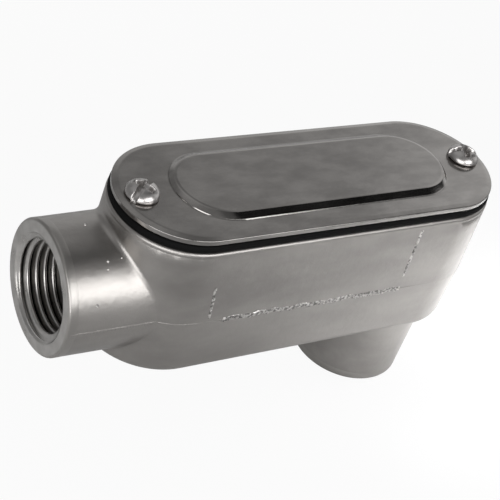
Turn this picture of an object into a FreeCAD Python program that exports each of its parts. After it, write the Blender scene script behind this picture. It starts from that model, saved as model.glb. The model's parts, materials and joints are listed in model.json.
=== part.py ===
"""Type LB conduit body for half-inch threaded conduit, in die-cast aluminium.

One long obround housing, open on top, has a threaded hub on its end and another under its far end. A gasket
and a flat cover with a raised panel close it, held by two pan-head screws in bosses cast at the two ends.
Millimetres. Origin: centre of the back hub's mouth. +Z towards the cover, -X towards the end hub's mouth.
"""

import FreeCAD
import Part
import math
import os

# ---------------------------------------------------------------- driving sizes: housing
HOUSING_LENGTH = 92.4     # outside, on the parting plane, which holds the end hub's axis
HOUSING_WIDTH = 32.2      # outside, on the parting plane
RIM_HEIGHT = 17.9         # parting plane up to the rim that carries the gasket
DRAFT = 1.6               # degrees, outside walls, each way from the parting plane
CORE_DRAFT = 0.8          # degrees, chamber walls and screw bosses
RIM_WALL = 2.4            # wall at the rim
FLOOR = 2.4               # thickness of the chamber floor
UNDERSIDE_STEP = 0.2      # underside of the housing below the underside of the end hub
UNDERSIDE_ROUND = 2.0     # rounded edge all round the underside
CHAMBER_BREAK = 1.0       # sloped corner round the chamber floor
RIM_BREAK = 0.3           # broken outer edge of the rim

# ---------------------------------------------------------------- driving sizes: hubs
THREAD_D = 21.2           # root of the half-inch pipe thread
THREAD_DEPTH = 12.7       # mouth to the conduit stop
COUNTERSINK_D = 22.1      # lead-in at a mouth
THROAT_D = 15.8           # smooth throat past the conduit stop
THROAT_LIP = 0.8          # broken lips of the throat
END_HUB_WALL = 3.1        # outside the thread, at the mouth
END_HUB_REACH = 11.4      # housing end to the mouth
BACK_HUB_WALL = 2.4       # outside the thread, at the mouth
BACK_HUB_DROP = 19.4      # underside to the mouth
BACK_HUB_LEDGE = 4.0      # far end of the housing to the side of the back hub
HUB_TAPER = 0.6           # degrees, outside of the hubs
HUB_LIP = 0.5             # broken outer edge of a mouth
END_HUB_BLEND = 1.4       # fillet where the end hub meets the housing
BACK_HUB_FLARE = 0.4      # sloped seam where the back hub meets the underside

# ---------------------------------------------------------------- driving sizes: cover and gasket
COVER_INSET = 0.45        # edge of the rim to edge of the cover
COVER_THICKNESS = 1.6
COVER_BREAK = 0.35        # broken upper edge of the cover
PANEL_RISE = 1.0
PANEL_SLOPE = 1.7         # width of the sloping wall round the raised panel
PANEL_SIDE_MARGIN = 4.7   # edge of the cover to foot of the panel
PANEL_SCREW_GAP = 3.0     # screw head to foot of the panel
GASKET_THICKNESS = 1.6
GASKET_INSET = 0.2        # edge of the cover to edge of the gasket

# ---------------------------------------------------------------- driving sizes: number 6 screws
SCREW_INSET = 4.95        # end of the cover to a screw's axis
SCREW_D = 3.5
SCREW_LENGTH = 9.5        # under the head
HEAD_D = 7.0
HEAD_HEIGHT = 2.5
HEAD_FLAT_D = 4.6         # flat top of the head
HEAD_SHOULDER = 1.0       # depth of its sloped shoulder
SLOT_WIDTH = 1.0
SLOT_DEPTH = 0.95
SLOT_TURN = {"hub_end": 35, "far_end": -20}  # degrees from the cover's length
THREAD_GAP = 0.05         # radial, screw in its tapped hole
HOLE_GAP = 0.25           # radial, screw through the cover and the gasket
BOSS_WALL = 2.1           # round the tapped hole
TIP_ROOM = 1.5            # tapped hole past the tip of the screw

# ---------------------------------------------------------------- heights and stations that follow
UP = FreeCAD.Vector(0, 0, 1)
RIGHT = FreeCAD.Vector(0, 1, 0)
INTO_END = FreeCAD.Vector(1, 0, 0)
CUT_PAST = 1.0            # how far a cutting tool runs past the face it opens


def narrowing(angle, height):
    """Width lost on each side over a height, at a draft angle in degrees."""
    return height * math.tan(math.radians(angle))


END_HUB_R = THREAD_D / 2 + END_HUB_WALL
BACK_HUB_R = THREAD_D / 2 + BACK_HUB_WALL
UNDERSIDE_DROP = END_HUB_R + narrowing(HUB_TAPER, END_HUB_REACH - HUB_LIP) + UNDERSIDE_STEP
Z_UNDERSIDE = BACK_HUB_DROP
Z_AXIS = Z_UNDERSIDE + UNDERSIDE_DROP
Z_RIM = Z_AXIS + RIM_HEIGHT
Z_COVER = Z_RIM + GASKET_THICKNESS
Z_COVER_TOP = Z_COVER + COVER_THICKNESS

BACK_HUB_ROOT_R = BACK_HUB_R + narrowing(HUB_TAPER, BACK_HUB_DROP - HUB_LIP)
X_FAR = BACK_HUB_ROOT_R + BACK_HUB_LEDGE
X_NEAR = X_FAR - HOUSING_LENGTH
X_MOUTH = X_NEAR - END_HUB_REACH
X_MIDDLE = (X_FAR + X_NEAR) / 2
END_MOUTH = FreeCAD.Vector(X_MOUTH, 0, Z_AXIS)
BACK_MOUTH = FreeCAD.Vector(0, 0, 0)
END_HUB_ROOT = END_HUB_REACH + HOUSING_WIDTH / 2

RIM_LENGTH = HOUSING_LENGTH - 2 * narrowing(DRAFT, RIM_HEIGHT)
RIM_WIDTH = HOUSING_WIDTH - 2 * narrowing(DRAFT, RIM_HEIGHT)
COVER_LENGTH = RIM_LENGTH - 2 * COVER_INSET
COVER_WIDTH = RIM_WIDTH - 2 * COVER_INSET
SCREW_HALF_SPAN = COVER_LENGTH / 2 - SCREW_INSET
SCREW_STATIONS = {"hub_end": X_MIDDLE - SCREW_HALF_SPAN, "far_end": X_MIDDLE + SCREW_HALF_SPAN}
BOSS_R = SCREW_D / 2 + THREAD_GAP + BOSS_WALL


# ---------------------------------------------------------------- shapes used more than once
def obround(length, width, z, height, slope_in=0.0):
    """Obround block standing on z, its outline drawn in by slope_in over its height (negative goes down)."""
    r_foot = width / 2
    r_top = r_foot - slope_in
    half = (length - width) / 2
    direction = UP if height > 0 else -UP
    ends = []
    for x in (X_MIDDLE - half, X_MIDDLE + half):
        foot = FreeCAD.Vector(x, 0, z)
        if abs(slope_in) > 1e-9:
            end = Part.makeCone(r_foot, r_top, abs(height), foot, direction)
        else:
            end = Part.makeCylinder(r_foot, abs(height), foot, direction)
        ends.append(end)
    ends[1].rotate(foot, UP, 180)
    corners = [(-r_foot, z), (r_foot, z), (r_top, z + height), (-r_top, z + height)]
    section = [FreeCAD.Vector(X_MIDDLE - half, y, h) for y, h in corners]
    middle = Part.Face(Part.makePolygon(section + section[:1])).extrude(FreeCAD.Vector(2 * half, 0, 0))
    return middle.fuse(ends).removeSplitter()


def turned(outline, mouth, inward, across=RIGHT, angle=360):
    """Solid turned about a hub's or a screw's axis, through an angle from the direction across. The closed
    outline is in (depth from the mouth, radius) pairs."""
    points = [mouth + inward * depth + across * radius for depth, radius in outline]
    return Part.Face(Part.makePolygon(points + points[:1])).revolve(mouth, inward, angle)


def edges_at(shape, z):
    """Edges that lie wholly at one height."""
    return [e for e in shape.Edges if abs(e.BoundBox.ZMin - z) < 1e-4 and abs(e.BoundBox.ZMax - z) < 1e-4]


# ---------------------------------------------------------------- body casting
def hub_outside(mouth, inward, radius, length, across=RIGHT, angle=360):
    """Tapered round hub from its mouth, with a broken lip, running length into the housing."""
    root = radius + narrowing(HUB_TAPER, length - HUB_LIP)
    outline = [(0, 0), (0, radius - HUB_LIP), (HUB_LIP, radius), (length, root), (length, 0)]
    return turned(outline, mouth, inward, across, angle)


def blend_end_hub(half):
    """Fillets the seam between the end hub's flank and the housing, in one half of the casting."""
    seam = []
    for edge in half.Edges:
        points = [point - END_MOUTH for point in edge.discretize(7)]
        off_flank = [abs(math.hypot(p.y, p.z) - END_HUB_R - narrowing(HUB_TAPER, p.x - HUB_LIP)) for p in points]
        past_lip = min(p.x for p in points) > 2 * HUB_LIP
        on_parting_plane = max(abs(p.z) for p in points) < 1e-6
        if max(off_flank) < 1e-3 and past_lip and not on_parting_plane:
            seam.append(edge)
    return half.makeFillet(END_HUB_BLEND, seam)


def upper_half():
    """Outside of the casting above the parting plane: half the end hub, and the walls up to the rim."""
    walls = obround(HOUSING_LENGTH, HOUSING_WIDTH, Z_AXIS, RIM_HEIGHT, narrowing(DRAFT, RIM_HEIGHT))
    walls = walls.makeChamfer(RIM_BREAK, edges_at(walls, Z_RIM))
    hub = hub_outside(END_MOUTH, INTO_END, END_HUB_R, END_HUB_ROOT, RIGHT, 180)
    return blend_end_hub(walls.fuse(hub).removeSplitter())


def lower_half():
    """Outside of the casting below the parting plane: half the end hub, the rounded base and the back hub."""
    walls = obround(HOUSING_LENGTH, HOUSING_WIDTH, Z_AXIS, -UNDERSIDE_DROP, narrowing(DRAFT, UNDERSIDE_DROP))
    walls = walls.makeFillet(UNDERSIDE_ROUND, edges_at(walls, Z_UNDERSIDE))
    end_hub = hub_outside(END_MOUTH, INTO_END, END_HUB_R, END_HUB_ROOT, -RIGHT, 180)
    back_hub = hub_outside(BACK_MOUTH, UP, BACK_HUB_R, BACK_HUB_DROP + FLOOR)
    seam = FreeCAD.Vector(0, 0, Z_UNDERSIDE)
    flare = Part.makeCone(BACK_HUB_ROOT_R + BACK_HUB_FLARE, BACK_HUB_ROOT_R, BACK_HUB_FLARE, seam, -UP)
    half = walls.fuse([end_hub, back_hub, flare]).removeSplitter()
    return blend_end_hub(half)


def wiring_chamber():
    """Cutting tool for the chamber: drafted, rounded at the floor, round the two screw bosses."""
    depth = Z_RIM - Z_UNDERSIDE - FLOOR
    drawn_in = narrowing(CORE_DRAFT, depth)
    z_floor = Z_RIM - depth
    chamber = obround(RIM_LENGTH - 2 * RIM_WALL, RIM_WIDTH - 2 * RIM_WALL, Z_RIM, -depth, drawn_in)
    chamber = chamber.makeChamfer(CHAMBER_BREAK, edges_at(chamber, z_floor))
    bosses = [Part.makeCone(BOSS_R + drawn_in, BOSS_R, depth, FreeCAD.Vector(x, 0, z_floor), UP)
              for x in SCREW_STATIONS.values()]
    return chamber.cut(bosses)


def hub_bore(mouth, inward, throat_end, flared):
    """Cutting tool for a hub: countersink, bore of the thread, conduit stop and smooth throat with a broken
    lip. A flared throat has a second broken lip, where it ends."""
    thread = THREAD_D / 2
    throat = THROAT_D / 2
    sink = COUNTERSINK_D / 2
    stop = THREAD_DEPTH
    outline = [(-CUT_PAST, 0), (-CUT_PAST, sink), (0, sink), (sink - thread, thread), (stop, thread),
               (stop, throat + THROAT_LIP), (stop + THROAT_LIP, throat)]
    if flared:
        outline += [(throat_end - THROAT_LIP, throat), (throat_end, throat + THROAT_LIP), (throat_end, 0)]
    else:
        outline += [(throat_end, throat), (throat_end, 0)]
    return turned(outline, mouth, inward)


def body_casting():
    """The housing with its two hubs, its chamber and its two tapped bosses, one die casting. The way of the
    wires stays open up from the back hub, past a scallop in the far boss."""
    casting = upper_half().fuse(lower_half()).removeSplitter()
    past_boss = SCREW_STATIONS["hub_end"] + BOSS_R - X_MOUTH + CUT_PAST
    z_floor = Z_UNDERSIDE + FLOOR
    wire_way = Part.makeCylinder(THROAT_D / 2, Z_RIM - z_floor, FreeCAD.Vector(0, 0, z_floor), UP)
    tools = [wiring_chamber(), wire_way, hub_bore(END_MOUTH, INTO_END, past_boss, False),
             hub_bore(BACK_MOUTH, UP, z_floor, True)]
    depth = SCREW_LENGTH - GASKET_THICKNESS - COVER_THICKNESS + TIP_ROOM
    for x in SCREW_STATIONS.values():
        rim_point = FreeCAD.Vector(x, 0, Z_RIM)
        tools.append(Part.makeCylinder(SCREW_D / 2 + THREAD_GAP, depth, rim_point, -UP))
    for tool in tools:
        casting = casting.cut(tool)
    return casting


# ---------------------------------------------------------------- gasket, cover and screws
def screw_holes(z, height):
    """Clearance holes for the two screws, as cutting tools."""
    radius = SCREW_D / 2 + HOLE_GAP
    return [Part.makeCylinder(radius, height, FreeCAD.Vector(x, 0, z), UP) for x in SCREW_STATIONS.values()]


def cover_gasket():
    """Flat ring between the rim and the cover, with an ear over each boss."""
    inset = 2 * GASKET_INSET
    sheet = obround(COVER_LENGTH - inset, COVER_WIDTH - inset, Z_RIM, GASKET_THICKNESS)
    window = obround(RIM_LENGTH - 2 * RIM_WALL, RIM_WIDTH - 2 * RIM_WALL, Z_RIM, GASKET_THICKNESS)
    ears = [Part.makeCylinder(BOSS_R, GASKET_THICKNESS, FreeCAD.Vector(x, 0, Z_RIM), UP)
            for x in SCREW_STATIONS.values()]
    return sheet.cut(window.cut(ears)).cut(screw_holes(Z_RIM, GASKET_THICKNESS))


def cover_plate():
    """Flat cover with a broken edge and a raised obround panel, hollow beneath the panel."""
    end_margin = SCREW_INSET + HEAD_D / 2 + PANEL_SCREW_GAP
    length = COVER_LENGTH - 2 * end_margin
    width = COVER_WIDTH - 2 * PANEL_SIDE_MARGIN
    plate = obround(COVER_LENGTH, COVER_WIDTH, Z_COVER, COVER_THICKNESS)
    plate = plate.makeChamfer(COVER_BREAK, edges_at(plate, Z_COVER_TOP))
    cover = plate.fuse(obround(length, width, Z_COVER_TOP, PANEL_RISE, PANEL_SLOPE)).removeSplitter()
    slope_angle = math.atan2(PANEL_RISE, PANEL_SLOPE)
    inset = 2 * COVER_THICKNESS * math.tan(slope_angle / 2)
    hollow = obround(length - inset, width - inset, Z_COVER, PANEL_RISE, PANEL_SLOPE)
    return cover.cut(hollow).cut(screw_holes(Z_COVER, COVER_THICKNESS))


def cover_screw(x, slot_turn):
    """Pan-head machine screw, its slot turned from the cover's length by an angle."""
    top = FreeCAD.Vector(x, 0, Z_COVER_TOP + HEAD_HEIGHT)
    head = HEAD_D / 2
    shank = SCREW_D / 2
    tip = HEAD_HEIGHT + SCREW_LENGTH
    outline = [(0, 0), (0, HEAD_FLAT_D / 2), (HEAD_SHOULDER, head), (HEAD_HEIGHT, head), (HEAD_HEIGHT, shank),
               (tip, shank), (tip, 0)]
    screw = turned(outline, top, -UP)
    slot = Part.makeBox(HEAD_D, SLOT_WIDTH, SLOT_DEPTH, top - FreeCAD.Vector(head, SLOT_WIDTH / 2, SLOT_DEPTH))
    screw = screw.cut(slot)
    screw.rotate(top, UP, slot_turn)
    return screw


def main():
    pieces = {"body_casting": body_casting(), "cover_gasket": cover_gasket(), "cover_plate": cover_plate()}
    for end, x in SCREW_STATIONS.items():
        pieces[f"cover_screw_{end}"] = cover_screw(x, SLOT_TURN[end])
    os.makedirs("parts", exist_ok=True)
    for name, shape in pieces.items():
        shape.exportStep(f"parts/{name}.step")
        print(name, shape.isValid(), len(shape.Solids), round(shape.Volume, 1))


if __name__ == "__main__":
    main()
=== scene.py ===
"""Finish of a type LB conduit body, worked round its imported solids. Metres throughout, in the solids' own
frame: origin at the centre of the back hub's mouth, +Z towards the cover, -X towards the end hub's mouth."""

import json
import math

import bmesh
import bpy
import numpy as np
from mathutils import Matrix, Vector


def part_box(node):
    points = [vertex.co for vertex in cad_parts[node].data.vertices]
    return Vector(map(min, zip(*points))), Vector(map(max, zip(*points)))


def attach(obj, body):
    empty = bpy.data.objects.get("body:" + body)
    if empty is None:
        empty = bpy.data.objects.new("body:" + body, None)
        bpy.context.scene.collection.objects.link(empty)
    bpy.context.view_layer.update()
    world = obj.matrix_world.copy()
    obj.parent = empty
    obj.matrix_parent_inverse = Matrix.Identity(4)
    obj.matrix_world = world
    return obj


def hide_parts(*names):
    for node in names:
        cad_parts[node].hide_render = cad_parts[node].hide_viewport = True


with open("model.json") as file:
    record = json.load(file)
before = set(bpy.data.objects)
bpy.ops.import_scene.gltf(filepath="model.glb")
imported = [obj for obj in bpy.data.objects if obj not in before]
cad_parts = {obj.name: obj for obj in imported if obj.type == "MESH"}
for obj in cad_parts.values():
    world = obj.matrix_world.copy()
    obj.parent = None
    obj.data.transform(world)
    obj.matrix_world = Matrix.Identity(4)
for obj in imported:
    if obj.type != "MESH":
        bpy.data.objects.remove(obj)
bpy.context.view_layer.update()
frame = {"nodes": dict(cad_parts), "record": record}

MM = 0.001
mounts = {mount["name"]: mount for mount in frame["record"]["mounts"]}
casting_low, casting_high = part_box("body_casting")
cover_low, cover_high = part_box("cover_plate")

# ---------------------------------------------------------------- where things are, from the solids
AXIS_Z = mounts["end_hub_thread"]["pos_m"][2]       # height of the end hub's axis, and of the parting plane
MOUTH_X = casting_low.x                             # mouth of the end hub
FAR_X = casting_high.x                              # far end of the housing
RIM_Z = casting_high.z
HOUSING_R = (casting_high.y - casting_low.y) / 2    # round ends of the housing, on the parting plane
THREAD_ROOT_R = mounts["end_hub_thread"]["dims"]["r_mm"] * MM
THREAD_LENGTH = mounts["end_hub_thread"]["dims"]["length_mm"] * MM
COVER_R = (cover_high.y - cover_low.y) / 2
COVER_HALF_SPAN = (cover_high.x - cover_low.x) / 2 - COVER_R
COVER_MID_X = (cover_high.x + cover_low.x) / 2
SCREWS = {end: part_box(f"cover_screw_{end}") for end in ("hub_end", "far_end")}

# ---------------------------------------------------------------- casting: sizes as on the solids
HOUSING_NEAR_X = MOUTH_X + 11.4 * MM    # end of the housing that carries the end hub
RIM_HALF_WIDTH = 15.6 * MM
RIM_OUTSET = 0.45 * MM                  # how far the rim stands out past the cover
RIM_BREAK = 0.30 * MM                   # the solid's sloped rim edge
END_HUB_R = 13.7 * MM
BACK_HUB_R = 13.0 * MM
HUB_TAPER = math.tan(math.radians(0.6))
COUNTERSINK_R = 11.05 * MM
SINK_DEPTH = COUNTERSINK_R - THREAD_ROOT_R

# ---------------------------------------------------------------- casting: sizes of the finish
SKIN_LAP = 0.03 * MM            # how far a finishing ring stands over the solid that it covers
RIM_EDGE_IN = 0.85 * MM         # width and depth of the rim's rounded edge
RIM_EDGE_DOWN = 1.00 * MM
MOUTH_SETBACK = 0.15 * MM       # the solid's mouth faces stand back this far, behind the mouth rings
MOUTH_ROUND = 0.65 * MM
INNER_ROUND = 0.5 * MM
MOUTH_WRAP = 2.4 * MM           # how far a mouth ring runs up the outside of its hub
THREAD_CLEAR = 0.02 * MM        # between the thread's skin and the bore, and short of the conduit stop
THREAD_PITCH = 25.4 / 14 * MM
THREAD_HEIGHT = 1.45 * MM
THREAD_TAPER = 1 / 32           # fall of the thread's radius along its axis
GROOVE_RADII = (9.75, 10.25)    # millimetres: crests lie inside the first, grooves, which get painted shade, outside the second
THREAD_EDGE_RADII = (11.2, 11.5)    # millimetres: past these radii a depth is on the mouth, not in the thread
THREAD_START = (0.9, 1.4)           # millimetres from the mouth, where the painted shade in the grooves begins
HUBS = (
    ("end_hub", (MOUTH_X, 0, AXIS_Z), Vector((1, 0, 0)), Vector((0, 0, 1)), END_HUB_R),
    ("back_hub", (0, 0, 0), Vector((0, 0, 1)), Vector((1, 0, 0)), BACK_HUB_R),
)

# ---------------------------------------------------------------- casting: flash, seams and beads
FLASH_STEP = 0.12 * MM          # distance between points along the parting line
FLASH_SUNK = 0.03 * MM          # the feet of a ridge lie this deep in the skin, its root FLASH_ROOT deep
FLASH_ROOT = 0.2 * MM
FLASH_LIMIT = 0.22 * MM         # no flash stands out further
FLASH_SEED = 3
HUB_SEAM_Y = 13.9 * MM          # where the parting line leaves the housing for the hub
HUB_FLASH_RUN = (0.7 * MM, 19.3 * MM)
TORN_RUN_X = (-53.5 * MM, -8.0 * MM)
TORN_EVERY = 4                  # the torn stretch uses every fourth point of the parting line
WALL_SEAMS = (                  # name, top and bottom as (x, z) in millimetres, height in millimetres
    ("seam_left", (-57.6, 42.6), (-56.9, 34.4), 0.16),
    ("seam_right", (-8.9, 49.6), (-8.9, 37.0), 0.34),
)
BEADS = (                       # x, y and radius in millimetres
    (-77.56, -7.22, 0.34),
    (-77.93, -8.45, 0.26),
    (-74.6, -6.91, 0.26),
    (-78.91, 1.5, 0.28),
    (-80.87, -12.53, 0.30),
)
BEAD_RING = 13.8                # millimetres: radius of the hub that their y is measured on
BEAD_SEAT_R = END_HUB_R * 1.004

# ---------------------------------------------------------------- cover, gasket and screws
GASKET_THICKNESS = 1.6 * MM
COVER_THICKNESS = 1.6 * MM
MARGIN_Z = RIM_Z + GASKET_THICKNESS + COVER_THICKNESS    # flat margin of the cover
COVER_UNDER_ROUND = 0.50 * MM
PANEL_RISE = 1.0 * MM
PANEL_FOOT = 4.45 * MM          # foot of the panel's slope, from the cover's edge
PANEL_SLOPE = 1.49 * MM
END_SHIFT = 6.75 * MM           # how much further in the panel's foot lies at the ends than at the sides
END_STEEPENING = 0.8 * MM       # how much narrower the slope is there
HEAD_HEIGHT = 2.5 * MM
HEAD_SIDE = 0.45 * MM           # height at which the crown of a head starts
SHANK_R = 1.75 * MM
SLOT_TURNS = {"hub_end": math.radians(35), "far_end": math.radians(-20)}
SLOT_DEPTH = 0.95 * MM
SLOT_HALF_WIDTH = 0.66 * MM
CROSS_DEPTH = 1.60 * MM
CROSS_HALF_WIDTH = 0.80 * MM
CROSS_REACH = 2.5 * MM
CROSS_RISE = 1.9                # how steeply the wings of the cross rise towards their ends
RECESS_LEAN = 0.30 * MM         # how much the walls of a recess lean

# ---------------------------------------------------------------- studio
WHITE = (1, 1, 1)
FLOOR_Z = -0.5 * MM
FLOOR_HALF = 3.0
PAPER = (0.30, 0.30, 0.30)
PAPER_SEEN_WHITE = 0.94         # share of plain white in the paper that the camera sees
PAPER_MIRRORED_WHITE = 0.15     # and in the paper that the metal mirrors
WALL = 0.26                     # grey of the studio's walls
GLOWS = (                       # direction, its cosine where a glow starts and where it is full, strength
    ((0.95, 0.20, 0.30), 0.70, 0.78, 0.16),
    ((0.95, 0.20, 0.30), 0.83, 0.89, 0.38),
    ((0.45, 0.88, 0.10), 0.86, 0.97, 0.35),
    ((-0.25, 0.35, 0.90), 0.80, 0.96, 0.20),
)
BAND_ENDS = (Vector((0.534, -0.08, 0.84)), Vector((0.908, 0.15, 0.39)))    # dark band of the wall
SIDE_OF_BAND = (0.11, 0.155)
LENGTH_OF_BAND = (0.86, 0.925)
DARK_PATCH = ((0.30, -0.10, 0.93), 0.955, 0.99, 0.52)
DARK = (0.01, 0.01, 0.01)
SEEN_FROM = Vector((-191.2, -169.4, 208.3)) * MM
SEEN_ALONG = Vector((0.53359, 0.59182, -0.60418)).normalized()
SEEN_RIGHT = Vector((0.83683, -0.47289, 0.27584)).normalized()


# ---------------------------------------------------------------- meshes
def mesh_piece(name, points, faces, material, hard_angle):
    """Object from a point array and a face array, smooth except across edges sharper than hard_angle."""
    mesh = bpy.data.meshes.new(name)
    mesh.from_pydata(points.reshape(-1, 3), [], faces.tolist())
    return finish_piece(name, mesh, material, hard_angle)


def finish_piece(name, mesh, material, hard_angle):
    """Merges doubles, closes open ends, turns faces outwards, sets smooth shading, and ties the piece to the
    root body."""
    work = bmesh.new()
    work.from_mesh(mesh)
    bmesh.ops.remove_doubles(work, verts=work.verts, dist=1e-7)
    bmesh.ops.dissolve_degenerate(work, edges=work.edges, dist=1e-8)
    bmesh.ops.holes_fill(work, edges=[edge for edge in work.edges if edge.is_boundary])
    bmesh.ops.recalc_face_normals(work, faces=work.faces)
    if work.calc_volume(signed=True) < 0:
        bmesh.ops.reverse_faces(work, faces=work.faces)
    for face in work.faces:
        face.smooth = True
    for edge in work.edges:
        edge.smooth = edge.calc_face_angle(0) < math.radians(hard_angle)
    work.to_mesh(mesh)
    work.free()
    mesh.materials.clear()
    mesh.materials.append(material)
    piece = bpy.data.objects.new(name, mesh)
    bpy.context.scene.collection.objects.link(piece)
    weigh = piece.modifiers.new("weigh", "WEIGHTED_NORMAL")
    weigh.keep_sharp = True
    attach(piece, "root")
    return piece


def grid_faces(rows, columns, close_rows=False):
    """Quads over a rows x columns grid of points, joined from the last column to the first, and from the last
    row to the first if close_rows is set."""
    row = np.arange(rows if close_rows else rows - 1)
    row, column = (part.ravel() for part in np.meshgrid(row, np.arange(columns), indexing="ij"))
    next_row, next_column = (row + 1) % rows, (column + 1) % columns
    corners = (row * columns + column, row * columns + next_column,
               next_row * columns + next_column, next_row * columns + column)
    return np.stack(corners, axis=1)


def swept_obround(profile, base_z, close_profile=False, half_round=48):
    """Profile of (outset from the cover's edge, height over base_z) carried round the cover's obround.
    For each outset: two half circles of radius + outset about x = +-half span, joined by straights."""
    outset, height = np.array(profile).T[..., None]
    turn = np.linspace(-math.pi / 2, math.pi / 2, half_round)[None, :]
    reach = COVER_R + outset
    far_x, y = COVER_HALF_SPAN + reach * np.cos(turn), reach * np.sin(turn)
    x = COVER_MID_X + np.concatenate([far_x, -far_x], axis=1)
    y = np.concatenate([y, -y], axis=1)
    points = np.stack([x, y, np.broadcast_to(base_z + height, x.shape)], axis=-1)
    return points, grid_faces(*x.shape, close_rows=close_profile)


def obround_reach(points):
    """Distance of each point, seen from above, from the middle segment of the cover's obround."""
    over = np.maximum(np.abs(points[..., 0] - COVER_MID_X) - COVER_HALF_SPAN, 0)
    return np.hypot(over, points[..., 1])


def rounded(corner, start, end, steps):
    """Profile points of a quarter-like round from start to end, pulled towards corner: a quadratic curve."""
    t = np.linspace(0, 1, steps)[:, None]
    corner, start, end = (np.array(p) for p in (corner, start, end))
    return [tuple(p) for p in (1 - t) ** 2 * start + 2 * t * (1 - t) * corner + t ** 2 * end]


# ---------------------------------------------------------------- node trees
class Signal:
    """One socket of a node tree, with the operators that its maths needs."""

    def __init__(self, sheet, socket):
        self.sheet = sheet
        self.socket = socket

    def __add__(self, other):
        return self.sheet.node("ShaderNodeMath", {0: self, 1: other}, operation="ADD")

    __radd__ = __add__

    def __mul__(self, other):
        return self.sheet.node("ShaderNodeMath", {0: self, 1: other}, operation="MULTIPLY")

    __rmul__ = __mul__

    def __rsub__(self, other):
        return self.sheet.node("ShaderNodeMath", {0: other, 1: self}, operation="SUBTRACT")

    def clamp(self):
        return self.sheet.node("ShaderNodeClamp", {"Value": self})

    def between(self, low, high):
        """0 below low, 1 above high, smooth between."""
        values = {"Value": self, "From Min": low, "From Max": high}
        return self.sheet.node("ShaderNodeMapRange", values, interpolation_type="SMOOTHSTEP")


class Sheet:
    """The node tree of a material or a world, and the shader that it starts with."""

    def __init__(self, owner, shader="Principled BSDF"):
        owner.use_nodes = True
        self.owner = owner
        self.tree = owner.node_tree
        self.shader = self.tree.nodes[shader]

    def node(self, kind, values, output=0, **settings):
        """Adds a node with its settings, feeds its sockets, and returns one of its outputs."""
        made = self.tree.nodes.new(kind)
        for key, value in settings.items():
            setattr(made, key, value)
        for key, value in values.items():
            self.feed(made.inputs[key], value)
        return Signal(self, made.outputs[output])

    def feed(self, socket, value):
        if isinstance(value, Signal):
            self.tree.links.new(value.socket, socket)
        else:
            socket.default_value = value

    def set(self, **values):
        """Feeds the shader's sockets, named with _ for each space, and returns the material or world."""
        for key, value in values.items():
            self.feed(self.shader.inputs[key.replace("_", " ")], value)
        return self.owner

    def place(self, scale=(1, 1, 1)):
        """Object coordinates in millimetres, stretched by scale."""
        here = self.node("ShaderNodeTexCoord", {}, output="Object")
        return self.node("ShaderNodeMapping", {"Vector": here, "Scale": tuple(s / MM for s in scale)})

    def noise(self, place, size, detail, roughness=0.5):
        """Noise from 0 to 1 with features about size millimetres across."""
        values = {"Vector": place, "Scale": 1 / size, "Detail": detail, "Roughness": roughness}
        return self.node("ShaderNodeTexNoise", values)

    def vector(self, operation, first, second, output="Vector"):
        return self.node("ShaderNodeVectorMath", {0: first, 1: second}, output=output, operation=operation)

    def blend(self, factor, low, high):
        """Colour between low and high, each a signal or red, green and blue."""
        low, high = (colour if isinstance(colour, Signal) else (*colour, 1) for colour in (low, high))
        return self.node("ShaderNodeMix", {0: factor, 6: low, 7: high}, output=2, data_type="RGBA")

    def bump(self, height, depth_mm=1.0):
        return self.node("ShaderNodeBump", {"Height": height, "Strength": 1.0, "Distance": depth_mm * MM})


# ---------------------------------------------------------------- finishes
def cast_housing_finish():
    """Satin die casting: fine grain, faint flow clouds and a slightly uneven sheen."""
    sheet = Sheet(bpy.data.materials.new("cast_housing_finish"))
    place = sheet.place()
    clouds = sheet.noise(sheet.place((0.35, 1, 1)), 9.0, 4.0, 0.55)
    grain = sheet.noise(place, 0.35, 2.0)
    orange_peel = sheet.noise(place, 1.6, 3.0)
    colour = sheet.blend(clouds.between(0.3, 0.7), (0.325, 0.311, 0.298), (0.420, 0.402, 0.386))
    roughness = 0.28 + clouds * 0.12 + grain * 0.05
    relief = sheet.bump(grain * 0.010 + orange_peel * 0.05)
    return sheet.set(Base_Color=colour, Metallic=1.0, Roughness=roughness, Normal=relief)


def flash_finish():
    """Torn metal of flash, seams and beads: brighter than the skin in places, darker in others."""
    sheet = Sheet(bpy.data.materials.new("flash_finish"))
    torn = sheet.noise(sheet.place(), 0.6, 3.0)
    colour = sheet.blend(torn.between(0.38, 0.62), (0.20, 0.193, 0.186), (0.74, 0.72, 0.70))
    relief = sheet.bump(torn, 0.05)
    return sheet.set(Base_Color=colour, Metallic=1.0, Roughness=0.34 + torn * 0.14, Normal=relief)


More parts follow.
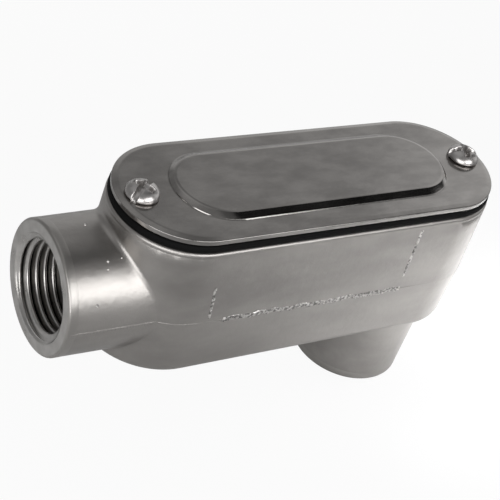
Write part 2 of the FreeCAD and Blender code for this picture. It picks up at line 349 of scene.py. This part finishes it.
def cut_metal_finish(name, mouth, inward, outer_r):
    """A hub's mouth and thread, cut after casting: bright on the face and the crests, near black with painted
    shade down in the thread's grooves, which are also rougher, and like the cast skin near the hub's outside.
    Depth and radius are in millimetres."""
    sheet = Sheet(bpy.data.materials.new(name))
    place = sheet.place()
    marks = sheet.noise(place, 0.5, 3.0)
    stain = sheet.noise(place, 3.0, 3.0)
    from_mouth = sheet.vector("SUBTRACT", place, Vector(mouth) / MM)
    off_axis = sheet.vector("MULTIPLY", from_mouth, Vector((1, 1, 1)) - inward)
    radius = sheet.node("ShaderNodeVectorMath", {0: off_axis}, output="Value", operation="LENGTH")
    depth = sheet.vector("DOT_PRODUCT", from_mouth, inward, output="Value")
    # mask of the painted shade down in the thread's grooves, which also makes them rougher
    groove_painted_shade_and_dullness = radius.between(*GROOVE_RADII) * (1 - radius.between(*THREAD_EDGE_RADII))
    groove_painted_shade_and_dullness = groove_painted_shade_and_dullness * depth.between(*THREAD_START)
    skin = radius.between(outer_r / MM - 0.7, outer_r / MM - 0.2)
    bright = sheet.blend(stain.between(0.35, 0.7), (0.44, 0.428, 0.412), (0.54, 0.525, 0.51))
    # near black painted shade down in the thread's grooves
    colour = sheet.blend(groove_painted_shade_and_dullness, sheet.blend(skin, bright, (0.375, 0.36, 0.345)), (0.025, 0.023, 0.021))
    roughness = 0.24 + stain * 0.10 + groove_painted_shade_and_dullness * 0.25 + skin * 0.06
    return sheet.set(Base_Color=colour, Metallic=1.0, Roughness=roughness, Normal=sheet.bump(marks * 0.02))


def cast_cover_finish():
    """Smoother, slightly darker casting, faintly mottled."""
    sheet = Sheet(bpy.data.materials.new("cast_cover_finish"))
    mottle = sheet.noise(sheet.place((0.5, 1, 1)), 5.0, 4.0, 0.6)
    grain = sheet.noise(sheet.place(), 0.3, 2.0)
    waves = sheet.noise(sheet.place((0.3, 1, 1)), 7.0, 2.0)
    colour = sheet.blend(mottle.between(0.3, 0.7), (0.29, 0.278, 0.268), (0.385, 0.370, 0.356))
    relief = sheet.bump(grain * 0.007 + waves * 0.08)
    return sheet.set(Base_Color=colour, Metallic=1.0, Roughness=0.10 + mottle * 0.10, Normal=relief)


def rubber_and_painted_shade_finish():
    """Matt black rubber with a fine tooth, its colour darkened to near black as painted shade for its recess
    under the cover's edge.
    """
    sheet = Sheet(bpy.data.materials.new("rubber_and_painted_shade_finish"))
    tooth = sheet.noise(sheet.place(), 0.25, 2.0)
    # near black: black rubber, darkened further as painted shade for the recess under the cover
    colour = sheet.blend(tooth, (0.003, 0.003, 0.003), (0.007, 0.007, 0.007))
    sheet.set(Specular_IOR_Level=0.06)
    return sheet.set(Base_Color=colour, Roughness=0.55 + tooth * 0.2, Normal=sheet.bump(tooth, 0.02))


def screw_finish():
    """Bright plated steel, a little worn."""
    sheet = Sheet(bpy.data.materials.new("screw_finish"))
    wear = sheet.noise(sheet.place(), 0.8, 3.0)
    colour = sheet.blend(wear, (0.40, 0.385, 0.375), (0.60, 0.58, 0.57))
    relief = sheet.bump(wear, 0.02)
    return sheet.set(Base_Color=colour, Metallic=1.0, Roughness=0.24 + wear * 0.12, Normal=relief)


# ---------------------------------------------------------------- the casting
def housing_casting(material):
    """The casting's own solid, its facets joined and shaded as one smooth skin. Its two mouth faces stand
    back a little, behind the mouth rings."""
    mesh = frame["nodes"]["body_casting"].data.copy()
    points = np.empty(len(mesh.vertices) * 3)
    mesh.vertices.foreach_get("co", points)
    points = points.reshape(-1, 3)
    points[points[:, 0] < MOUTH_X + 0.01 * MM, 0] += MOUTH_SETBACK
    points[points[:, 2] < 0.01 * MM, 2] += MOUTH_SETBACK
    widen_rim_edge(points)
    mesh.vertices.foreach_set("co", points.ravel())
    casting = finish_piece("housing_casting", mesh, material, 50)
    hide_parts("body_casting")


def widen_rim_edge(points):
    """Opens the sloped outer edge of the rim: its lower line sinks down the wall, its upper line moves in."""
    out = obround_reach(points)
    outline = out[points[:, 2] > RIM_Z - 2 * RIM_BREAK].max()
    lower = (points[:, 2] > RIM_Z - 1.5 * RIM_BREAK) & (out > outline - 0.5 * RIM_BREAK)
    upper = (points[:, 2] > RIM_Z - 0.1 * RIM_BREAK) & (out > outline - 1.5 * RIM_BREAK)
    points[lower, 2] = RIM_Z - RIM_EDGE_DOWN
    share = ((outline - RIM_EDGE_IN) / out[upper])[:, None]
    middle = np.zeros((upper.sum(), 2))
    middle[:, 0] = COVER_MID_X + np.clip(points[upper, 0] - COVER_MID_X, -COVER_HALF_SPAN, COVER_HALF_SPAN)
    points[upper, :2] = middle + (points[upper, :2] - middle) * share


def rim_round(material):
    """Rounded outer edge of the rim: a closed profile swept round the obround, from the wall up to the flat
    ledge that the gasket lies on, and back inside the wall. It fills the slope that widen_rim_edge opens."""
    wall = RIM_OUTSET + SKIN_LAP
    ledge = RIM_OUTSET - RIM_EDGE_IN
    foot = wall - 0.02 * MM
    profile = rounded((foot, 0), (wall, -RIM_EDGE_DOWN), (ledge, 0.004 * MM), 10)
    profile += [(ledge - 0.1 * MM, -0.2 * MM), (wall - 0.3 * MM, -1.3 * MM), (foot, -1.2 * MM)]
    points, faces = swept_obround(profile, RIM_Z, close_profile=True)
    mesh_piece("rim_round", points, faces, material, 60)


def mouth_lip(outer_r):
    """Rows of (depth, radius) over a hub's lip: along its outside, a quarter round of MOUTH_ROUND, the
    flat face, and a small round into the 45 degree countersink."""
    skin_r = outer_r + SKIN_LAP
    turn = np.linspace(0, math.pi / 2, 9)[:, None]
    outside = [(MOUTH_WRAP, outer_r - 0.06 * MM), (1.9 * MM, skin_r), (1.3 * MM, skin_r)]
    outer = np.hstack([1 - np.sin(turn), np.cos(turn) - 1]) * MOUTH_ROUND + (0, skin_r)
    half = turn[::2] / 2
    inner = np.hstack([1 - np.cos(half), 0.41 - np.sin(half)]) * INNER_ROUND + (0, COUNTERSINK_R)
    return np.concatenate([outside, outer, inner])


def thread_radius(depth, angle):
    """Radius of the pipe thread at each depth and angle: root - height x a 60 degree wave of
    (depth / pitch - angle / turn), less the taper. It grows in the countersink and dies out at the stop."""
    phase = (depth / THREAD_PITCH - angle / (2 * math.pi)) % 1
    wave = np.sin(np.clip(1.12 * (1 - np.abs(2 * phase - 1)) - 0.06, 0, 1) * math.pi / 2)
    run_in = np.clip((depth - 0.4 * SINK_DEPTH) / (0.6 * THREAD_PITCH), 0, 1)
    run_out = np.clip((SINK_DEPTH + THREAD_LENGTH - depth) / (1.2 * THREAD_PITCH), 0, 1)
    return THREAD_ROOT_R - THREAD_CLEAR - THREAD_TAPER * depth - THREAD_HEIGHT * wave * run_in * run_out


def hub_mouth(name, mouth, inward, across, outer_r, material):
    """Mouth ring and pipe thread of a hub, one closed skin: rows of (depth, radius) carried round the
    hub's axis, over the lip, down the countersink and the thread, and back inside the wall."""
    angle = np.linspace(0, 2 * math.pi, 180, endpoint=False)[None, :]
    lip = mouth_lip(outer_r)
    depth = np.linspace(lip[-1, 0] + 0.08 * MM, SINK_DEPTH + THREAD_LENGTH - THREAD_CLEAR, 190)[:, None]
    sink = lip[-1, 1] - (depth - lip[-1, 0])
    thread = np.where(sink > THREAD_ROOT_R - THREAD_CLEAR, sink, thread_radius(depth, angle))
    back = np.array([(depth[-1, 0], THREAD_ROOT_R + 0.3 * MM), (MOUTH_WRAP, THREAD_ROOT_R + 0.9 * MM)])
    lip_radius, back_radius = (np.repeat(rows[:, 1:], angle.size, axis=1) for rows in (lip, back))
    radius = np.concatenate([lip_radius, thread, back_radius])[..., None]
    depth = np.concatenate([lip[:, :1], depth, back[:, :1]])[..., None]
    aside = inward.cross(across)
    ring = np.cos(angle)[..., None] * np.array(across) + np.sin(angle)[..., None] * np.array(aside)
    points = np.array(mouth) + depth * np.array(inward) + radius * ring
    faces = grid_faces(*points.shape[:2], close_rows=True)
    mesh_piece(name, points, faces, material, 60)


# ---------------------------------------------------------------- flash, seams and beads of the casting
def rough_height(count, low, high, seed, rough=1.0):
    """Height of a flash along its run: low where the die closed well, jagged up to high where rough is 1."""
    jag = np.random.default_rng(seed).random(count) ** 2
    jag = np.convolve(jag, [0.25, 0.5, 0.25], mode="same")
    return low + (high - low) * rough * jag


def flash_ridge(name, path, outward, height, width, material, up=(0, 0, 1), rough=None):
    """Thin ridge along a path of points: a low tent of the given width, standing out by height, closed by
    a root inside the skin. Where rough is 1 it crumbles: every point of the tent stands out by its own
    chance share of the height, and strays sideways."""
    rough = np.zeros(len(path)) if rough is None else rough
    chance = np.random.default_rng(FLASH_SEED)
    across = np.array([-1.0, -0.66, -0.33, 0.0, 0.33, 0.66, 1.0]) * width / 2
    share = np.array([0.0, 0.55, 0.85, 1.0, 0.85, 0.55, 0.0])
    crumble = 1 - rough[:, None] * (1 - 1.5 * chance.random((len(path), 7)) ** 1.5)
    stray = rough * np.convolve(chance.random(len(path)) - 0.5, np.ones(3) / 3, mode="same") * 0.6 * width
    stand = height[:, None] * share[None, :] * crumble - FLASH_SUNK * (share[None, :] == 0)
    stand = np.minimum(stand, FLASH_LIMIT)
    offset = across[None, :] + stray[:, None]
    tent = path[:, None, :] + offset[..., None] * np.array(up) + stand[..., None] * outward[:, None, :]
    root = path[:, None, :] - FLASH_ROOT * outward[:, None, :]
    points = np.concatenate([tent, root], axis=1)
    mesh_piece(name, points, grid_faces(*points.shape[:2]), material, 80)


def parting_line():
    """The housing's outline on the parting plane, from the hub's near flank round to its far one: a path of
    points, and the direction outwards at each."""
    half_span = (FAR_X - HOUSING_NEAR_X) / 2 - HOUSING_R
    near_turn = np.arange(math.asin(HUB_SEAM_Y / HOUSING_R), math.pi / 2, FLASH_STEP / HOUSING_R) - math.pi
    far_turn = np.arange(-math.pi / 2, math.pi / 2, FLASH_STEP / HOUSING_R)
    straight = np.arange(-half_span, half_span, FLASH_STEP)
    near_x, far_x = np.full_like(near_turn, -half_span), np.full_like(far_turn, half_span)
    middle_x = np.concatenate([near_x, straight, far_x, -straight, near_x])
    turn = np.concatenate([near_turn, np.full_like(straight, -math.pi / 2), far_turn,
                           np.full_like(straight, math.pi / 2), -near_turn[::-1]])
    outward = np.stack([np.cos(turn), np.sin(turn), np.zeros_like(turn)], axis=1)
    middle_x += (FAR_X + HOUSING_NEAR_X) / 2
    middle = np.stack([middle_x, np.zeros_like(turn), np.full_like(turn, AXIS_Z)], axis=1)
    return middle + HOUSING_R * outward, outward


def housing_flash(skin, torn_metal):
    """Flash round the housing: a hair line all the way, and a torn stretch on the near wall."""
    path, outward = parting_line()
    flash_ridge("housing_flash", path, outward, np.full(len(path), 0.03 * MM), 0.40 * MM, skin)
    torn = (path[:, 0] > TORN_RUN_X[0]) & (path[:, 0] < TORN_RUN_X[1]) & (path[:, 1] < 0)
    path, outward = path[torn][::TORN_EVERY], outward[torn][::TORN_EVERY]
    height = rough_height(len(path), low=0.06 * MM, high=0.55 * MM, seed=7)
    flash_ridge("torn_flash", path, outward, height, 1.3 * MM, torn_metal, rough=np.ones(len(path)))


def hub_flash(skin):
    """Low flash along both flanks of the end hub, straight lines on its taper."""
    along = np.arange(*HUB_FLASH_RUN, FLASH_STEP)
    for name, way in (("hub_flash_near", -1), ("hub_flash_far", 1)):
        flank = way * (END_HUB_R + HUB_TAPER * along)
        path = np.stack([MOUTH_X + along, flank, np.full_like(along, AXIS_Z)], axis=1)
        outward = np.tile([0.0, way, 0.0], (len(along), 1))
        height = rough_height(len(path), low=0.05 * MM, high=0.12 * MM, seed=11)
        flash_ridge(name, path, outward, height, 0.8 * MM, skin)


def wall_seams(material):
    """Two short crumbled seams that run down the near wall, where the die's inserts met: ridges along
    straight lines on the drafted wall."""
    draft = (HOUSING_R - RIM_HALF_WIDTH) / (RIM_Z - AXIS_Z)
    share = np.linspace(0, 1, 32)[:, None]
    rough = np.sin(share[:, 0] * math.pi) ** 0.4
    outward = np.tile([0.0, -1.0, 0.0], (len(share), 1))
    for name, top, bottom, high in WALL_SEAMS:
        x, z = ((np.array(top) + (np.array(bottom) - np.array(top)) * share) * MM).T
        path = np.stack([x, draft * (z - AXIS_Z) - HOUSING_R, z], axis=1)
        height = rough_height(len(path), low=0.02 * MM, high=high * MM, seed=5, rough=rough) * rough
        flash_ridge(name, path, outward, height, 0.8 * MM, material, up=(1, 0, 0), rough=rough)


def hub_pimples(material):
    """Small beads of metal left on the hub: each a low dome, height = 0.8 x radius x cosine of the polar
    angle."""
    polar = np.linspace(0, math.pi * 0.6, 7)[:, None, None]
    turn = np.linspace(0, 2 * math.pi, 16, endpoint=False)[None, :, None]
    along = np.array([1.0, 0, 0])
    for number, (x, y, size) in enumerate(BEADS, start=1):
        out = np.array([0, y, math.sqrt(BEAD_RING ** 2 - y ** 2)]) / BEAD_RING
        flat = np.cos(turn) * along + np.sin(turn) * np.cross(out, along)
        dome = 0.8 * np.cos(polar) * out + np.sin(polar) * flat
        points = np.array([x * MM, 0, AXIS_Z]) + out * BEAD_SEAT_R + dome * size * MM
        faces = grid_faces(*points.shape[:2])
        mesh_piece(f"hub_pimple_{number}", points, faces, material, 60)


# ---------------------------------------------------------------- cover, gasket and screws
def gasket(material):
    """Rubber ring swept round the cover's obround: its inner wall as cut, its outer wall squeezed out between
    rim and cover, furthest near its foot. Profile in millimetres."""
    squeezed = [(-2.15, 0), (-0.15, 0), (0.10, 0.10), (0.24, 0.34), (0.26, 0.66), (0.18, 1.0), (0.02, 1.34),
                (-0.26, 1.6), (-2.15, 1.6)]
    points, faces = swept_obround(np.array(squeezed) * MM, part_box("cover_gasket")[0].z, close_profile=True)
    piece = mesh_piece("gasket", points, faces, material, 60)
    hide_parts("cover_gasket")


def cover(material):
    """Cover swept round its obround outline, from the middle of its underside to the middle of its panel:
    rounded under edge, near-vertical side, gentle slope, flat margin, the panel's small step and slope, its
    rounded crown and its flat top."""
    foot = -PANEL_FOOT
    crown = foot - PANEL_SLOPE
    under = -COVER_THICKNESS
    profile = [(-COVER_R, under)]
    profile += rounded((0, under), (-COVER_UNDER_ROUND, under), (0, under + COVER_UNDER_ROUND), 6)
    profile += rounded((0, -0.30 * MM), (0, -0.46 * MM), (-0.15 * MM, -0.265 * MM), 4)
    profile += rounded((-1.15 * MM, 0), (-0.95 * MM, -0.052 * MM), (-1.5 * MM, 0), 4)
    profile += [(foot / 2, 0), (foot + 0.06 * MM, 0), (foot, 0.03 * MM)]
    profile += [(foot - 0.15 * MM, 0.20 * MM), (foot - 0.20 * MM, 0.24 * MM)]
    profile += rounded((crown - 0.34 * MM, PANEL_RISE), (crown, PANEL_RISE - 0.16 * MM),
                       (crown - 0.80 * MM, PANEL_RISE), 6)
    profile += [(-COVER_R, PANEL_RISE)]
    points, faces = swept_obround(profile, MARGIN_Z)
    squeeze_panel(points)
    piece = mesh_piece("cover", points, faces, material, 50)
    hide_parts("cover_plate")


def squeeze_panel(points):
    """The panel's ends stand further in than its sides, and their slope is steeper: shortens the straight
    run of each ring by its own amount, grown from nothing halfway out on the margin to the whole at the
    panel's foot."""
    depth = COVER_R - obround_reach(points)
    inside = np.clip(2 * depth / PANEL_FOOT - 1, 0, 1)
    on_slope = np.clip((PANEL_FOOT + PANEL_SLOPE - depth) / PANEL_SLOPE, 0, 1)
    shift = (END_SHIFT + END_STEEPENING * on_slope) * inside
    points[..., 0] -= np.sign(points[..., 0] - COVER_MID_X) * shift


def pan_screw(end, material):
    """Pan-head screw as one turned grid: crown, rounded shoulder, side, undercut foot, seat and shank.
    The crown's height is (1 - (r / R) ^ 2.5) ^ 0.55 of the head above its side, less the depth of the
    recess."""
    low, high = SCREWS[end]
    head_r = (high.x - low.x) / 2
    seat = high.z - HEAD_HEIGHT
    radius = head_r * np.sin(np.linspace(0, math.pi / 2, 70)) ** 0.9
    crown = seat + HEAD_SIDE + (HEAD_HEIGHT - HEAD_SIDE) * (1 - (radius / head_r) ** 2.5) ** 0.55
    below = [(head_r - 0.05 * MM, seat + 0.28 * MM), (head_r - 0.32 * MM, seat + 0.10 * MM),
             (head_r - 0.55 * MM, seat), (SHANK_R, seat), (SHANK_R, low.z), (0, low.z)]
    rows = np.concatenate([np.stack([radius, crown], axis=1), below])
    angle = np.linspace(0, 2 * math.pi, 180, endpoint=False)[None, :]
    reach, height = rows[:, :1], np.repeat(rows[:, 1:], angle.size, axis=1)
    slot_angle = angle - SLOT_TURNS[end]
    top = slice(0, radius.size)
    height[top] -= recess(reach[top] * np.cos(slot_angle), reach[top] * np.sin(slot_angle))
    x = (low.x + high.x) / 2 + reach * np.cos(angle)
    points = np.stack([x, reach * np.sin(angle), height], axis=-1)
    piece = mesh_piece(f"{end}_screw", points, grid_faces(*x.shape), material, 60)
    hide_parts(f"cover_screw_{end}")


def recess(along, across):
    """Depth of the combination recess at places along and across the slot: a slot right across the head,
    and a cross whose wings rise towards their ends, all with walls that lean by a hair."""
    def between_walls(distance, half_width):
        return np.clip((half_width - np.abs(distance)) / RECESS_LEAN, 0, 1)

    def wing(outwards, sideways):
        rise = np.clip(CROSS_RISE * (1 - np.abs(outwards) / CROSS_REACH), 0, 1)
        return CROSS_DEPTH * rise * between_walls(sideways, CROSS_HALF_WIDTH)

    slot = SLOT_DEPTH * between_walls(across, SLOT_HALF_WIDTH)
    return np.maximum(slot, np.maximum(wing(along, across), wing(across, along)))


# ---------------------------------------------------------------- camera, light and stage
def camera():
    """Long lens, from above the end hub's near side, leaning with the object's slope across the view."""
    data = bpy.data.cameras.new("camera")
    data.lens = 98.0
    data.sensor_width = 36.0
    data.clip_start, data.clip_end = 0.01, 10
    made = bpy.data.objects.new("camera", data)
    turn = Matrix((SEEN_RIGHT, SEEN_RIGHT.cross(SEEN_ALONG), -SEEN_ALONG)).transposed().to_4x4()
    made.matrix_world = Matrix.Translation(SEEN_FROM) @ turn
    bpy.context.scene.collection.objects.link(made)
    bpy.context.scene.camera = made


def softbox(name, place, target, size, level, shines_in_metal=True, spread=180):
    """Rectangular lamp at place, facing target. Level is how bright it looks, with white paper as 1. A
    lamp that doesn't shine in metal only lights the floor. Spread is in degrees."""
    data = bpy.data.lights.new(name, "AREA")
    data.shape = "RECTANGLE"
    data.size, data.size_y = size
    data.energy = level * math.pi * size[0] * size[1]
    data.spread = math.radians(spread)
    made = bpy.data.objects.new(name, data)
    made.location = place
    made.rotation_mode = "QUATERNION"
    made.rotation_quaternion = (Vector(place) - Vector(target)).to_track_quat("Z", "Y")
    made.visible_camera = False
    made.visible_glossy = shines_in_metal
    bpy.context.scene.collection.objects.link(made)


def paper_floor():
    """Pale floor just under the back hub: plain paper to the lamps, a little whitened where the metal mirrors
    it, near white to the camera."""
    corners = [(x * FLOOR_HALF, y * FLOOR_HALF, FLOOR_Z) for x, y in ((-1, -1), (1, -1), (1, 1), (-1, 1))]
    mesh = bpy.data.meshes.new("floor")
    mesh.from_pydata(corners, [], [(0, 1, 2, 3)])
    floor = bpy.data.objects.new("floor", mesh)
    bpy.context.scene.collection.objects.link(floor)
    sheet = Sheet(bpy.data.materials.new("paper"))
    mesh.materials.append(sheet.set(Base_Color=(*PAPER, 1), Roughness=1.0, Specular_IOR_Level=0.0))
    seen = sheet.node("ShaderNodeLightPath", {}, output="Is Camera Ray") * PAPER_SEEN_WHITE
    seen += sheet.node("ShaderNodeLightPath", {}, output="Is Glossy Ray") * PAPER_MIRRORED_WHITE
    glow = sheet.node("ShaderNodeEmission", {"Color": (*WHITE, 1), "Strength": 1.0})
    paper = Signal(sheet, sheet.shader.outputs[0])
    both = sheet.node("ShaderNodeMixShader", {0: seen, 1: paper, 2: glow})
    sheet.feed(sheet.tree.nodes["Material Output"].inputs["Surface"], both)


def studio_walls():
    """Grey studio with soft glows, most of them towards the far end, and a dark band and patch overhead;
    white where the camera looks past the floor."""
    bpy.context.scene.world = bpy.data.worlds.new("studio")
    sheet = Sheet(bpy.context.scene.world, "Background")
    way = sheet.node("ShaderNodeTexCoord", {}, output="Generated")

    def towards(direction, start, full, strength=1.0):
        cosine = sheet.vector("DOT_PRODUCT", way, Vector(direction).normalized(), output="Value")
        return cosine.between(start, full) * strength

    wall = WALL
    for glow in GLOWS:
        wall = wall + towards(*glow)
    one_end, other_end = BAND_ENDS
    side = one_end.cross(other_end)
    off_band = towards(side, *SIDE_OF_BAND) + towards(-side, *SIDE_OF_BAND)
    dark = towards(one_end + other_end, *LENGTH_OF_BAND) * (1 - off_band)
    dark = (dark + towards(*DARK_PATCH)).clamp()
    wall = sheet.blend(dark, sheet.blend(wall, (0, 0, 0), WHITE), DARK)
    seen = sheet.node("ShaderNodeLightPath", {}, output="Is Camera Ray")
    sheet.set(Color=sheet.blend(seen, wall, WHITE))


def stage():
    """Floor, walls and the studio's soft lamps: two that the metal shows, and some that only light the
    floor."""
    paper_floor()
    studio_walls()
    softbox("key", (0.081, -0.444, 0.266), (-0.08, 0, 0.04), (0.42, 0.29), 3.6)
    softbox("front_left", (-0.42, -0.36, 0.17), (-0.06, 0, 0.05), (0.55, 0.32), 3.0)
    softbox("floor_right", (0.100, -0.035, 0.07), (0.050, -0.035, 0.0), (0.08, 0.05), 11, False, 90)
    softbox("floor_strip", (0.066, -0.003, 0.04), (0.064, -0.003, 0.0), (0.016, 0.08), 8, False, 70)
    softbox("floor_near", (0.042, -0.034, 0.03), (0.040, -0.034, 0.0), (0.016, 0.09), 2.1, False, 60)
    softbox("floor_left", (-0.21, 0.01, 0.09), (-0.17, 0.0, 0.0), (0.08, 0.06), 4, False, 90)
    softbox("low_back", (0.02, 0.42, 0.14), (0.06, 0.18, 0.0), (0.5, 0.12), 9, False)
    bpy.context.scene.view_settings.view_transform = "Standard"


def main():
    camera()
    stage()
    skin = cast_housing_finish()
    housing_casting(skin)
    rim_round(skin)
    for name, mouth, inward, across, outer_r in HUBS:
        cut_metal = cut_metal_finish(f"{name}_cut_metal", mouth, inward, outer_r)
        hub_mouth(f"{name}_mouth", mouth, inward, across, outer_r, cut_metal)
    torn_metal = flash_finish()
    housing_flash(skin, torn_metal)
    hub_flash(skin)
    wall_seams(torn_metal)
    hub_pimples(torn_metal)
    cover(cast_cover_finish())
    gasket(rubber_and_painted_shade_finish())
    plated = screw_finish()
    for end in SCREWS:
        pan_screw(end, plated)


main()
